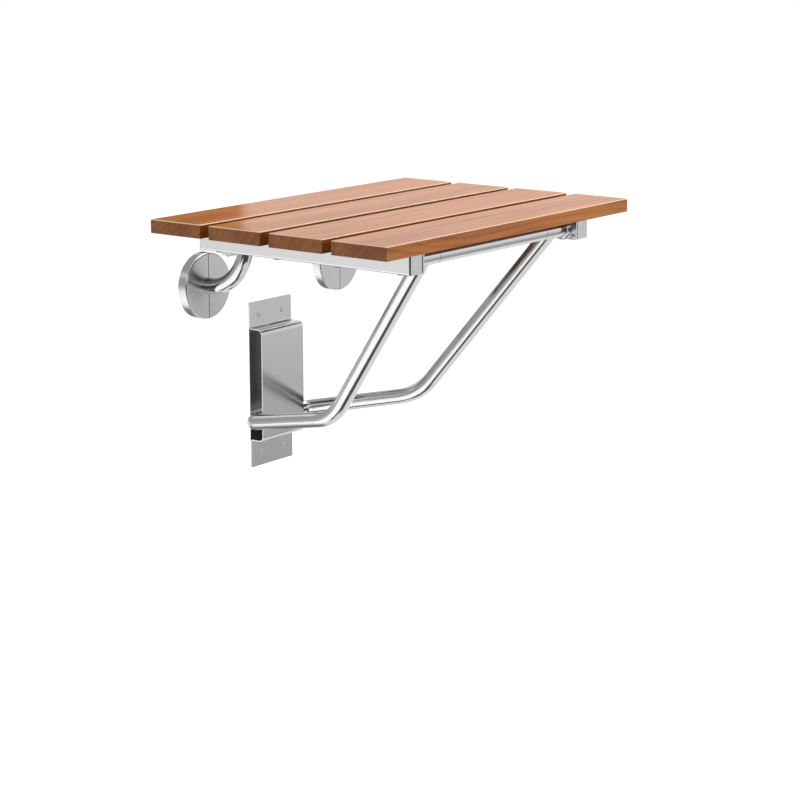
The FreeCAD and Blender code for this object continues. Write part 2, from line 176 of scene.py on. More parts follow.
def new_group(name, kind, inputs, outputs):
    """A node group with named inputs and outputs, and the nodes that stand for them."""
    tree = bpy.data.node_groups.new(name, kind)
    for way, sockets in (("INPUT", inputs), ("OUTPUT", outputs)):
        for label, (socket_kind, default) in sockets.items():
            made = tree.interface.new_socket(name=label, in_out=way, socket_type=socket_kind)
            if default is not None:
                made.default_value = default
    return tree, add_node(tree, "NodeGroupInput"), add_node(tree, "NodeGroupOutput")


FLOAT = "NodeSocketFloat"
COLOUR = "NodeSocketColor"
VECTOR = "NodeSocketVector"
GEOMETRY = "NodeSocketGeometry"
print("nodes stand in rows of", NODES_IN_ROW)

# %% [markdown]
# ## Shared surface effects
# Sheet and rail are rubbed with a belt at the works, which leaves very long fine scratches
# in one direction. They could be cut into the mesh, but they are thinner than a hair, so a
# noise that is squeezed across the scratches gives a small height and roughness instead.
# Each such effect is one node group that gives only numbers or a colour, and every metal
# uses it with its own values.

# %% Brushing group
SCRATCH_DETAIL = 2.0
NOISE_MIDDLE = 0.5


def brushing_group():
    """Fine scratches along one axis, given as a height and a roughness."""
    tree, source, target = new_group(
        "Brushing",
        "ShaderNodeTree",
        {
            "Stretch": (VECTOR, (1400.0, 6.0, 1400.0)),
            "Base roughness": (FLOAT, 0.25),
            "Spread": (FLOAT, 0.12),
        },
        {"Height": (FLOAT, None), "Roughness": (FLOAT, None)},
    )
    place = add_node(tree, "ShaderNodeTexCoord").outputs["Object"]
    scratch = noise(tree, place, source.outputs["Stretch"], SCRATCH_DETAIL)
    centred = number(tree, "SUBTRACT", scratch, NOISE_MIDDLE)
    spread = number(tree, "MULTIPLY", centred, source.outputs["Spread"])
    rough = number(tree, "ADD", source.outputs["Base roughness"], spread)
    feed(tree, target.inputs["Height"], scratch)
    feed(tree, target.inputs["Roughness"], rough)
    return tree


BRUSHING = brushing_group()
print("brushing group:", len(BRUSHING.nodes), "nodes")

# %% [markdown]
# A sawn board shows the rings of the tree as long bands that lean and wander, with fine
# fibres between them. A photograph of wood could be laid on it, but a pattern of numbers
# stays sharp at any distance and runs on round the edges as in real wood. A ring darkens
# slowly and ends sharply, then the next one starts pale. Each slat is a different board, so
# its number shifts the whole pattern.

# %% Rings, fibres and clouds
BOARD_SHIFT = 3.71
RING_LEAN = (0.9, 80.0, 95.0)
RING_BEND = (2.2, 6.0, 6.0)
RING_SWAY = 16.0
RING_DETAIL = 1.5
RING_SHARPNESS = 2.6
RING_DEPTH = -0.34
FIBRE_STRETCH = (12.0, 420.0, 160.0)
FIBRE_DETAIL = 3.0
FIBRE_SHARE = 0.75
CLOUD_STRETCH = (4.0, 30.0, 30.0)
CLOUD_DETAIL = 2.0
CLOUD_GAIN = 1.1
CLOUD_BASE = -0.25


def board_number(tree, place, source):
    """Which slat a point is on: -1 at the wall, and one less for each slat to the front.

    A narrow strip along each slat's back edge counts with the board behind it.
    """
    across = add_node(tree, "ShaderNodeSeparateXYZ", Vector=place).outputs["Y"]
    start = number(tree, "ADD", across, source.outputs["First gap"])
    boards = number(tree, "DIVIDE", start, source.outputs["Slat pitch"])
    return number(tree, "FLOOR", boards)


def board_place(tree, place, board):
    """The place in the pattern, moved on for each board."""
    shift = number(tree, "MULTIPLY", board, BOARD_SHIFT)
    apart = add_node(tree, "ShaderNodeCombineXYZ", X=shift, Z=shift).outputs[0]
    return vector(tree, "ADD", place, apart).outputs["Vector"]


def ring_shade(tree, place):
    """How dark the growth ring is at a place, from 0 to 1."""
    lean = vector(tree, "DOT_PRODUCT", place, RING_LEAN).outputs["Value"]
    bend = noise(tree, place, RING_BEND, RING_DETAIL)
    sway = number(tree, "MULTIPLY", bend, RING_SWAY)
    ring = number(tree, "FRACT", number(tree, "ADD", lean, sway))
    return number(tree, "POWER", ring, RING_SHARPNESS)


def wood_tone(tree, place, fibre):
    """The share of the light colour, from fibres, broad clouds and rings."""
    cloud = noise(tree, place, CLOUD_STRETCH, CLOUD_DETAIL)
    lifted = number(tree, "MULTIPLY_ADD", cloud, CLOUD_GAIN, CLOUD_BASE)
    tone = number(tree, "MULTIPLY_ADD", fibre, FIBRE_SHARE, lifted)
    return number(tree, "MULTIPLY_ADD", ring_shade(tree, place), RING_DEPTH, tone)


print("rings lean by", RING_LEAN, "and sway by", RING_SWAY)

# %% [markdown]
# The sawn ends are rough, so they soak up more oil and turn darker. The faces in the gaps and
# the undersides are painted darker as shade, and the rounded top edges are painted paler as a
# highlight. All of that is told apart by which way the surface looks: an end looks along the
# slat, and a rounded edge looks neither up nor sideways. The front of the last board is an
# open face, so its number is left out.

# %% Wood grain group
FLAT_FACE = 0.8
HALF_BOARD = 0.5
EDGE_TILT = 0.62
EDGE_TILT_RANGE = 0.34
WOOD_ROUGHNESS = (0.34, 0.5)


def oil_and_painted_shade(tree, facing, board, source):
    """Darkening as a factor: ends that drink oil, and painted shade in the gaps and below."""
    along = number(tree, "ABSOLUTE", facing.outputs["X"])
    end = number(tree, "GREATER_THAN", along, FLAT_FACE)
    end_shade = number(tree, "MULTIPLY_ADD", end, source.outputs["End shade"], 1.0)
    # The faces in the gaps and the undersides are darkened as painted shade.
    forward = number(tree, "LESS_THAN", facing.outputs["Y"], -FLAT_FACE)
    front_board = number(tree, "SUBTRACT", HALF_BOARD, source.outputs["Slats"])
    inner = number(tree, "GREATER_THAN", board, front_board)
    in_gap = number(tree, "MULTIPLY", forward, inner)
    below = number(tree, "LESS_THAN", facing.outputs["Z"], -FLAT_FACE)
    hidden = number(tree, "MAXIMUM", in_gap, below)
    painted_shade = number(tree, "MULTIPLY_ADD", hidden, source.outputs["Gap shade"], 1.0)
    return number(tree, "MULTIPLY", end_shade, painted_shade)


def grain_group():
    """Grain of a slat along X with painted shade and highlight: colour, height and roughness."""
    tree, source, target = new_group(
        "Wood grain",
        "ShaderNodeTree",
        {
            "Dark": (COLOUR, (0.2, 0.07, 0.02, 1.0)),
            "Light": (COLOUR, (0.45, 0.17, 0.06, 1.0)),
            "Edge": (COLOUR, (0.9, 0.6, 0.35, 1.0)),
            "Edge wear": (FLOAT, 0.5),
            "End shade": (FLOAT, -0.2),
            "Gap shade": (FLOAT, -0.5),
            "Slat pitch": (FLOAT, 0.0933),
            "First gap": (FLOAT, 0.0),
            "Slats": (FLOAT, 4.0),
        },
        {"Colour": (COLOUR, None), "Height": (FLOAT, None), "Roughness": (FLOAT, None)},
    )
    surface = add_node(tree, "ShaderNodeTexCoord")
    board = board_number(tree, surface.outputs["Object"], source)
    place = board_place(tree, surface.outputs["Object"], board)
    fibre = noise(tree, place, FIBRE_STRETCH, FIBRE_DETAIL)
    tone = wood_tone(tree, place, fibre)
    blend = mix_colours(tree, tone, source.outputs["Dark"], source.outputs["Light"])
    facing = add_node(tree, "ShaderNodeSeparateXYZ", Vector=surface.outputs["Normal"])
    shaded = vector(tree, "SCALE", blend)
    feed(tree, shaded.inputs["Scale"], oil_and_painted_shade(tree, facing, board, source))
    # The rounded top edges get a painted highlight in the Edge colour.
    slope = number(tree, "COMPARE", facing.outputs["Z"], EDGE_TILT, EDGE_TILT_RANGE)
    pale = number(tree, "MULTIPLY", slope, source.outputs["Edge wear"])
    edged = mix_colours(tree, pale, shaded.outputs["Vector"], source.outputs["Edge"])
    rough = add_node(tree, "ShaderNodeMapRange", Value=fibre)
    rough.inputs["To Min"].default_value, rough.inputs["To Max"].default_value = WOOD_ROUGHNESS
    feed(tree, target.inputs["Colour"], edged)
    feed(tree, target.inputs["Height"], fibre)
    feed(tree, target.inputs["Roughness"], rough.outputs[0])
    return tree


GRAIN = grain_group()
print("wood grain group:", len(GRAIN.nodes), "nodes")

# %% [markdown]
# ## Finishes
# The seat has four kinds of surface: oiled wood, polished tube, brushed sheet and dark
# rubber. Metal is one plain grey, and only its roughness and fine height change. Each steel
# could be built by hand, but one function makes them all, so they stay alike and a new one
# is a single line in the table further down.

# %% Plain steel and plain colour
BRUSH_STRENGTH = 0.5
BRUSH_RELIEF = 0.01 * MM


def new_material(name):
    """A material, its node tree and its principled shader."""
    made = bpy.data.materials.new(name)
    made.use_nodes = True
    tree = made.node_tree
    return made, tree, tree.nodes["Principled BSDF"]


def steel(name, grey, roughness, stretch, spread=0.1):
    """Stainless steel with scratches along the axis that is stretched least."""
    made, tree, shader = new_material(name)
    brush = add_node(tree, "ShaderNodeGroup", node_tree=BRUSHING)
    brush.inputs["Stretch"].default_value = stretch
    brush.inputs["Base roughness"].default_value = roughness
    brush.inputs["Spread"].default_value = spread
    bump = add_node(
        tree,
        "ShaderNodeBump",
        Strength=BRUSH_STRENGTH,
        Distance=BRUSH_RELIEF,
        Height=brush.outputs["Height"],
    )
    shader.inputs["Base Color"].default_value = grey_colour(grey)
    shader.inputs["Metallic"].default_value = 1.0
    feed(tree, shader.inputs["Roughness"], brush.outputs["Roughness"])
    feed(tree, shader.inputs["Normal"], bump.outputs["Normal"])
    return made


def plain(name, colour, roughness, gloss=0.5):
    """A moulded or rubbed surface of one colour."""
    made, tree, shader = new_material(name)
    shader.inputs["Specular IOR Level"].default_value = gloss
    shader.inputs["Base Color"].default_value = (*colour, 1.0)
    shader.inputs["Roughness"].default_value = roughness
    return made


print("scratches are", BRUSH_RELIEF / MM, "mm high")

# %% [markdown]
# The round covers on the wall are brushed while they spin, so their scratches run round the
# middle, and a long highlight fans out from it. A ring of lines could be drawn, but the
# shader can pull its highlights along a direction, which does the same at any distance. Each
# cover is two half rings, and a narrow band where they meet is painted dark grey as the shade
# in that seam.

# %% Turned steel
TURNED_STRETCH = (900, 900, 900)
TURNED_SPREAD = 0.06
TURNED_PULL = 0.65
SEAM_SHADE_REACH = 0.7 * MM
SEAM_SHADE_GREY = 0.3


def turned_steel(name, grey, roughness, middle_x, middle_z):
    """Steel scratched round the middle of two wall discs, with painted shade along the seams."""
    made = steel(name, grey, roughness, TURNED_STRETCH, TURNED_SPREAD)
    tree = made.node_tree
    shader = tree.nodes["Principled BSDF"]
    place = add_node(tree, "ShaderNodeTexCoord").outputs["Object"]
    split = add_node(tree, "ShaderNodeSeparateXYZ", Vector=place)
    side = number(tree, "SIGN", split.outputs["X"])
    middle = number(tree, "MULTIPLY", side, middle_x)
    across = number(tree, "SUBTRACT", split.outputs["X"], middle)
    back = number(tree, "MULTIPLY", across, -1.0)
    up = number(tree, "SUBTRACT", split.outputs["Z"], middle_z)
    round_it = add_node(tree, "ShaderNodeCombineXYZ", X=up, Z=back).outputs[0]
    # A band along the seam of each cover is painted dark grey as shade.
    seam = number(tree, "COMPARE", across, 0.0, SEAM_SHADE_REACH)
    colour = mix_colours(tree, seam, grey_colour(grey), grey_colour(SEAM_SHADE_GREY))
    shader.inputs["Anisotropic"].default_value = TURNED_PULL
    feed(tree, shader.inputs["Tangent"], vector(tree, "NORMALIZE", round_it).outputs["Vector"])
    feed(tree, shader.inputs["Base Color"], colour)
    return made


print("turned highlights are pulled by", TURNED_PULL)

# %% [markdown]
# The pocket is one strip of sheet that is brushed along its length and then bent, so its
# scratches run up the wall and out over the bends. The inside is never polished and lies in
# shade. A second material on the inner faces would need them picked by hand, so a box that is
# as big as the pocket's opening paints the inside a darker grey instead: partly the unpolished
# sheet's own tone and partly painted shade.

# %% Pocket sheet
POCKET_SKIN = 0.7 * MM
POCKET_SHADE_GREY = 0.45
SHEET_PULL = 0.7
QUARTER_TURN = 0.25


def pocket_steel(name, grey, roughness, stretch, opening):
    """Brushed sheet, darker grey inside the pocket: its unpolished tone and painted shade."""
    low, high = opening
    made = steel(name, grey, roughness, stretch)
    tree = made.node_tree
    shader = tree.nodes["Principled BSDF"]
    place = add_node(tree, "ShaderNodeTexCoord").outputs["Object"]
    split = add_node(tree, "ShaderNodeSeparateXYZ", Vector=place)
    deep, height = split.outputs["Y"], split.outputs["Z"]
    before = number(tree, "GREATER_THAN", deep, low[1] - POCKET_SKIN)
    behind = number(tree, "LESS_THAN", deep, high[1] + POCKET_SKIN)
    middle = (low[2] + high[2]) / 2
    reach = (high[2] - low[2]) / 2 + POCKET_SKIN
    level = number(tree, "COMPARE", height, middle, reach)
    between = number(tree, "MULTIPLY", before, behind)
    inside = number(tree, "MULTIPLY", between, level)
    # The inside is painted a darker grey: painted shade, and the unpolished sheet's tone.
    colour = mix_colours(tree, inside, grey_colour(grey), grey_colour(POCKET_SHADE_GREY))
    width = add_node(tree, "ShaderNodeCombineXYZ", X=1.0).outputs[0]
    shader.inputs["Anisotropic"].default_value = SHEET_PULL
    shader.inputs["Anisotropic Rotation"].default_value = QUARTER_TURN
    feed(tree, shader.inputs["Tangent"], width)
    feed(tree, shader.inputs["Base Color"], colour)
    return made


print("sheet highlights are pulled by", SHEET_PULL)

# %% [markdown]
# The wood has a thin glossy coat of oil. It mirrors the white room at a low angle, so the
# tops are pale, and it leaves the front faces deep in colour. Varnish could be built as a
# second skin, but the shader's own coat does it without one.

# %% Oiled wood
WOOD_COLOURS = {
    "Dark": (0.27, 0.068, 0.010, 1.0),
    "Light": (0.67, 0.24, 0.054, 1.0),
    # The Edge colour and its share are a painted highlight on the rounded top edges.
    "Edge": (1.0, 0.77, 0.52, 1.0),
    "Edge wear": 0.85,
    "End shade": -0.2,
    # Painted shade in the gaps and on the undersides.
    "Gap shade": -0.55,
}
WOOD_BUMP = 0.4
WOOD_RELIEF = 0.1 * MM
COAT_WEIGHT = 0.58
COAT_ROUGHNESS = 0.11


def oiled_wood(name, slats, slat_pitch, first_gap):
    """Warm wood under a thin glossy coat."""
    made, tree, shader = new_material(name)
    grain = add_node(tree, "ShaderNodeGroup", node_tree=GRAIN)
    measured = {"Slats": slats, "Slat pitch": slat_pitch, "First gap": first_gap}
    for key, value in {**WOOD_COLOURS, **measured}.items():
        grain.inputs[key].default_value = value
    bump = add_node(
        tree,
        "ShaderNodeBump",
        Strength=WOOD_BUMP,
        Distance=WOOD_RELIEF,
        Height=grain.outputs["Height"],
    )
    feed(tree, shader.inputs["Base Color"], grain.outputs["Colour"])
    feed(tree, shader.inputs["Roughness"], grain.outputs["Roughness"])
    feed(tree, shader.inputs["Normal"], bump.outputs["Normal"])
    shader.inputs["Specular IOR Level"].default_value = 0.0
    shader.inputs["Coat Weight"].default_value = COAT_WEIGHT
    shader.inputs["Coat Roughness"].default_value = COAT_ROUGHNESS
    return made


print("coat of oil:", COAT_WEIGHT)

# %% [markdown]
# The record says which finish each piece has, so one table from that name to a material
# dresses the whole seat. The slat's width, the gap, the pocket's opening and the middle of
# the covers are measured on the pieces, so the patterns stay in place if a size changes.

# %% Measures for the patterns
slat_low, slat_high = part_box("slat_1")
SLAT_PITCH = slat_high.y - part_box("slat_2")[1].y
SLAT_GAP = SLAT_PITCH - (slat_high.y - slat_low.y)
FIRST_GAP = SLAT_GAP / 2 - slat_high.y
SLATS = len([name for name in nodes if name.startswith("slat_") and name[5:].isdigit()])
POCKET = frame["record"]["physics"]["openings"][0]["box_m"]
cover_low, cover_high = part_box("flange_cover_outer_right")
COVER_X = (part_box("flange_cover_inner_right")[0].x + cover_high.x) / 2
COVER_Z = (cover_low.z + cover_high.z) / 2
print(SLATS, "slats every", round(SLAT_PITCH / MM, 1), "mm")
print("cover's middle at", round(COVER_X / MM, 1), round(COVER_Z / MM, 1), "mm")

# %% [markdown]
# Each steel below has a grey, a roughness and a stretch. The stretch is how close the
# scratches lie along X, Y and Z: close together across them and far apart along them.

# %% Finishes by slot
FINE = 1500.0
COARSE = 520.0
ALONG = 5.0
FINISH = {
    "wood": oiled_wood("oiled_wood", SLATS, SLAT_PITCH, FIRST_GAP),
    "tube_steel": steel("polished_tube", 0.64, 0.13, (90, 90, 90), spread=0.04),
    "rail_steel": steel("satin_rail", 0.66, 0.2, (FINE, ALONG, FINE)),
    "rail_cap": steel("satin_cap", 0.64, 0.2, (ALONG, FINE, FINE)),
    "sheet_steel": pocket_steel("brushed_sheet", 0.62, 0.17, (COARSE, COARSE, ALONG), POCKET),
    "cover_steel": turned_steel("turned_cover", 0.62, 0.2, COVER_X, COVER_Z),
    # The plate under the covers is painted dark grey, as the shade seen through their seams.
    "plate_steel": steel("wall_plate", 0.3, 0.4, (FINE, FINE, ALONG)),
    "pivot_steel": steel("pivot_block", 0.62, 0.22, (FINE, ALONG, FINE)),
    "screw_steel": steel("screw", 0.6, 0.28, (300, 300, 300), spread=0.06),
    "rubber": plain("rubber", (0.007, 0.007, 0.008), 0.6, gloss=0.2),
    "nylon": plain("nylon", (0.62, 0.62, 0.60), 0.45),
}
SLOT = {part["node"]: part["material_slot"] for part in frame["record"]["subparts"]}
for name, piece in nodes.items():
    piece.data.materials.clear()
    piece.data.materials.append(FINISH[SLOT[name]])
print(len(FINISH), "finishes on", len(SLOT), "pieces")

# %% [markdown]
# ## Screws
# Eight countersunk screws hold the slats and eight small pan heads hold the pivots. Real
# ones have a cross recess. It could be a dark picture of a cross, but a pit that is really
# there catches the light from any side. One screw is turned from its outline like on a
# lathe, with a head of radius one, and the tree below gives it its real size.

# %% Screw mesh
SIDES = 24
SUNK_LIP = 0.12
PAN_OUTLINE = ((0.62, 0.0), (0.88, 0.22), (1.0, 0.6), (1.0, 1.0))
TIP = 0.25
CROSS_ARM = 0.55
CROSS_HALF = 0.17
CROSS_DEPTH = 0.55
CROSS_TAPER = 0.7


def screw_outline(head_height, body_radius, length, sunk):
    """Radius and height down one side of a screw whose head has radius one."""
    if sunk:
        head = [(1.0, 0.0), (1.0, -SUNK_LIP * head_height)]
    else:
        head = [(radius, -share * head_height) for radius, share in PAN_OUTLINE]
    body = [(body_radius, -length + body_radius), (TIP * body_radius, -length)]
    return head + [(body_radius, -head_height)] + body


def add_ring(made, radius, height):
    """A level ring of points round the axis."""
    turns = [math.tau * i / SIDES for i in range(SIDES)]
    places = [(radius * math.cos(turn), radius * math.sin(turn), height) for turn in turns]
    return [made.verts.new(place) for place in places]


def join_rings(made, upper, lower):
    """Faces between two rings with the same number of points."""
    count = len(upper)
    for i in range(count):
        j = (i + 1) % count
        made.faces.new((upper[i], lower[i], lower[j], upper[j]))


def cross_corners(arm, half):
    """The twelve corners of a plus sign."""
    corners = []
    for quarter in range(4):
        turn = Matrix.Rotation(quarter * math.pi / 2, 3, "Z")
        for x, y in ((arm, -half), (arm, half), (half, half)):
            corners.append(turn @ Vector((x, y, 0.0)))
    return corners


def screw_mesh(name, head_height, body_radius, length, sunk):
    """A screw along -Z, head top at z = 0, with a cross recess in its head."""
    made = bmesh.new()
    outline = screw_outline(head_height, body_radius, length, sunk)
    rings = [add_ring(made, radius, height) for radius, height in outline]
    for upper, lower in zip(rings, rings[1:]):
        join_rings(made, upper, lower)
    made.faces.new(list(reversed(rings[-1])))
    flat = outline[0][0]
    corners = cross_corners(CROSS_ARM * flat, CROSS_HALF * flat)
    floor = -CROSS_DEPTH * head_height
    top = [made.verts.new(c) for c in corners]
    pit = [made.verts.new((CROSS_TAPER * c.x, CROSS_TAPER * c.y, floor)) for c in corners]
    join_rings(made, top, pit)
    made.faces.new(pit)
    # The flat top is filled between the rim and the plus sign.
    edges = [
        made.edges.get((loop[i], loop[(i + 1) % len(loop)]))
        for loop in (rings[0], top)
        for i in range(len(loop))
    ]
    bmesh.ops.triangle_fill(made, use_beauty=True, edges=edges)
    bmesh.ops.recalc_face_normals(made, faces=made.faces)
    mesh = bpy.data.meshes.new(name)
    made.to_mesh(mesh)
    made.free()
    return mesh


print("screws have", SIDES, "sides")

# %% [markdown]
# The places of the screws come from the frame's own screws: each loose piece of that mesh
# gives a middle and the way its head points. They could be typed in from a drawing, but
# then they would stay behind when a size changes.

# %% Screw places
SAME_PLACE = 0.01 * MM
RIM_SHARE = 0.98


def loose_parts(mesh):
    """The separate lumps of a mesh, as arrays of their points."""
    count = len(mesh.vertices)
    root = list(range(count))

    def find(i):
        """The point that stands for the lump a point is in."""
        while root[i] != i:
            root[i] = root[root[i]]
            i = root[i]
        return i

    for edge in mesh.edges:
        a, b = (find(v) for v in edge.vertices)
        root[a] = b
    place = np.array([v.co[:] for v in mesh.vertices])
    # Points in the same place belong together, as the frame splits its sharp edges.
    seen = {}
    for i, point in enumerate(np.round(place / SAME_PLACE).astype(int)):
        key = tuple(point)
        if key in seen:
            root[find(i)] = find(seen[key])
        seen[key] = i
    parts = {}
    for i in range(count):
        parts.setdefault(find(i), []).append(i)
    return [place[ids] for ids in parts.values()]


def screw_places(node):
    """Where each head is, which way it looks and how long its screw is."""
    found = []
    for points in loose_parts(nodes[node].data):
        low, high = points.min(0), points.max(0)
        axis = int(np.argmax(high - low))
        across = [k for k in range(3) if k != axis]
        middle = (low + high) / 2
        reach = np.hypot(*(points[:, across] - middle[across]).T)
        widest = points[reach > RIM_SHARE * reach.max(), axis]
        side = 1 if widest.mean() > middle[axis] else -1
        head = middle.copy()
        head[axis] = high[axis] if side > 0 else low[axis]
        look = np.zeros(3)
        look[axis] = side
        found.append((head, look, float(high[axis] - low[axis])))
    return found


slat_places = screw_places("slat_screws")
pivot_places = screw_places("pivot_screws")
print("slat screws", len(slat_places), "pivot screws", len(pivot_places))
for head, look, length in slat_places[:1] + pivot_places[:1]:
    print("head", np.round(head, 4), "looks", look, "length", round(length, 4))

# %% [markdown]
# A node tree carries one screw mesh to every point. The point's own direction turns the
# screw, and a small random turn about that direction leaves each cross at its own angle.
# Copies could be placed by hand, but the tree keeps the head's radius, the largest turn and
# the seed as three inputs that can be changed later.

# %% Screws set on points by geometry nodes
LARGEST_TURN = math.pi / 2


def scatter_tree(name, screw, material):
    """A node tree that puts one screw on every point, turned to the point's look."""
    tree, source, target = new_group(
        name,
        "GeometryNodeTree",
        {
            "Geometry": (GEOMETRY, None),
            "Head radius": (FLOAT, 4.5 * MM),
            "Largest turn": (FLOAT, LARGEST_TURN),
            "Seed": ("NodeSocketInt", 0),
        },
        {"Geometry": (GEOMETRY, None)},
    )
    shape = add_node(tree, "GeometryNodeObjectInfo", Object=screw).outputs["Geometry"]
    look = add_node(tree, "GeometryNodeInputNamedAttribute", data_type="FLOAT_VECTOR", Name="look")
    aim = add_node(tree, "FunctionNodeAlignRotationToVector", axis="Z", Vector=look.outputs[0])
    turn = add_node(tree, "FunctionNodeRandomValue", Seed=source.outputs["Seed"])
    feed(tree, turn.inputs[2], 0.0)
    feed(tree, turn.inputs[3], source.outputs["Largest turn"])
    spin = add_node(tree, "ShaderNodeCombineXYZ", Z=turn.outputs[1])
    euler = add_node(tree, "FunctionNodeEulerToRotation", Euler=spin.outputs[0])
    local = add_node(tree, "FunctionNodeRotateRotation", rotation_space="LOCAL")
    feed(tree, local.inputs[0], aim.outputs[0])
    feed(tree, local.inputs[1], euler.outputs[0])
    put = add_node(
        tree,
        "GeometryNodeInstanceOnPoints",
        Points=source.outputs["Geometry"],
        Instance=shape,
        Rotation=local.outputs[0],
        Scale=source.outputs["Head radius"],
    )
    real = add_node(tree, "GeometryNodeRealizeInstances", Geometry=put.outputs[0])
    finish = add_node(tree, "GeometryNodeSetMaterial", Geometry=real.outputs[0], Material=material)
    feed(tree, target.inputs["Geometry"], finish.outputs[0])
    return tree


def input_identifiers(tree):
    """The identifier of each input of a group, by its name."""
    sockets = tree.interface.items_tree
    return {item.name: item.identifier for item in sockets if item.in_out == "INPUT"}


def set_screws(name, places, screw_size, seed, body, slot, node=None):
    """One plain mesh of all the screws of a kind, in the places given."""
    head_radius, *lengths, sunk = screw_size
    unit = [length / head_radius for length in lengths]
    screw = new_object(name + "_one", screw_mesh(name + "_one", *unit, sunk))
    points = bpy.data.meshes.new(name)
    points.from_pydata([tuple(p[0]) for p in places], [], [])
    look = points.attributes.new("look", "FLOAT_VECTOR", "POINT")
    look.data.foreach_set("vector", np.array([p[1] for p in places], np.float32).ravel())
    made = new_object(name, points)
    modifier = made.modifiers.new("set screws", "NODES")
    modifier.node_group = scatter_tree(name, screw, FINISH[slot])
    values = {"Head radius": head_radius, "Largest turn": LARGEST_TURN, "Seed": seed}
    identifiers = input_identifiers(modifier.node_group)
    for label, value in values.items():
        modifier[identifiers[label]] = value
    bpy.context.view_layer.update()
    ready = made.evaluated_get(bpy.context.evaluated_depsgraph_get())
    baked = bpy.data.meshes.new_from_object(ready)
    made.modifiers.clear()
    made.data = baked
    baked.name = name
    bpy.data.objects.remove(screw)
    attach(made, body)
    if node is not None:
        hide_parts(node)
    return made


# Head radius, head height, body radius and length, and whether the head is countersunk.
SLAT_SCREW = (4.5 * MM, 2.2 * MM, 2.1 * MM, slat_places[0][2], True)
PIVOT_SCREW = (2.8 * MM, 1.9 * MM, 1.6 * MM, pivot_places[0][2], False)
slat_screws = set_screws(
    "slat_screws_cross",
    slat_places,
    SLAT_SCREW,
    seed=3,
    body="seat",
    slot="screw_steel",
    node="slat_screws",
)
pivot_screws = set_screws(
    "pivot_screws_cross",
    pivot_places,
    PIVOT_SCREW,
    seed=5,
    body="seat",
    slot="screw_steel",
    node="pivot_screws",
)
for piece in (slat_screws, pivot_screws):
    print(piece.name, len(piece.data.polygons), "faces")

# %% [markdown]
# Four more screws hold the wall bracket. The picture shows their low heads on the two ears.
# Only the heads and the necks inside the sheets are made, because the rest is in the wall.

# %% Wall screws
WALL_SCREW_HEAD = 3.6 * MM
WALL_SCREW_RISE = 0.5 * MM
WALL_SCREW_BODY = 2.2 * MM
# The top tenth of the bracket is its upper ear.
EAR_SHARE = 0.9


def ear_front():
    """How far the front of an ear stands off the wall, as the Y of its nearest points."""
    points = np.array([v.co[:] for v in nodes["wall_bracket"].data.vertices])
    return float(points[points[:, 2] > EAR_SHARE * points[:, 2].max(), 1].min())


def wall_screw_places():
    """Head tops of the four screws, from the mount that the record gives."""
    mounts = {mount["name"]: mount for mount in frame["record"]["mounts"]}
    sizes = mounts["wall_screws"]["dims"]
    half_x, half_z = sizes["spacing_x_mm"] / 2, sizes["spacing_y_mm"] / 2
    look = np.array([0.0, -1.0, 0.0])
    top = ear_front() - WALL_SCREW_RISE
    corners = [(x, z) for x in (-half_x, half_x) for z in (-half_z, half_z)]
    return [(np.array([x * MM, top, z * MM]), look) for x, z in corners]


neck = WALL_SCREW_RISE - ear_front()
WALL_SCREW = (WALL_SCREW_HEAD, WALL_SCREW_RISE, WALL_SCREW_BODY, neck, False)
wall_screws = set_screws(
    "wall_screw_heads",
    wall_screw_places(),
    WALL_SCREW,
    seed=7,
    body="wall_frame",
    slot="screw_steel",
)
print(wall_screws.name, len(wall_screws.data.polygons), "faces, neck", round(neck / MM, 2), "mm")

# %% [markdown]
# ## The studio
# The wall that the seat hangs on is left away, so that nothing hides its back. There is
# only white all round it. A white room could be built of walls, but a world of one colour
# has no corners that the steel would show. It is full white to the eye and in mirrors, and
# weaker as light, so the wood keeps its colour and the shadows stay soft.

# %% World
WORLD_WHITE = 1.0
WORLD_LIGHT = 0.36


def seen_rays(tree):
    """1 for a ray of the eye, a mirror or glass, and 0 for light that is spread."""
    path = add_node(tree, "ShaderNodeLightPath").outputs
    seen = number(tree, "MAXIMUM", path["Is Camera Ray"], path["Is Glossy Ray"])
    return number(tree, "MAXIMUM", seen, path["Is Transmission Ray"])


def white_world():
    """A white world that looks plain white and lights evenly from all sides."""
    world = bpy.data.worlds.new("studio")
    world.use_nodes = True
    tree = world.node_tree
    tree.nodes.clear()
    white = grey_colour(1.0)
    light = add_node(tree, "ShaderNodeBackground", Color=white, Strength=WORLD_LIGHT)
    shown = add_node(tree, "ShaderNodeBackground", Color=white, Strength=WORLD_WHITE)
    pick = add_node(tree, "ShaderNodeMixShader")
    for socket, value in zip(pick.inputs, (seen_rays(tree), light.outputs[0], shown.outputs[0])):
        feed(tree, socket, value)
    add_node(tree, "ShaderNodeOutputWorld", Surface=pick.outputs[0])
    bpy.context.scene.world = world


white_world()
print("world seen at", WORLD_WHITE, "and lighting at", WORLD_LIGHT)

# %% [markdown]
# The floor lies well below the seat, as a real one would, and keeps its soft shadow. It glows
# a little to the eye, so that it is as white as the world. The steel doesn't show it,
# because its far edge would draw a line across every tube.

# %% Floor
FLOOR_HEIGHT = -0.62
FLOOR_HALF = 6.0
FLOOR_GREY = 0.45
FLOOR_ROUGHNESS = 0.9
FLOOR_LIFT = 0.9


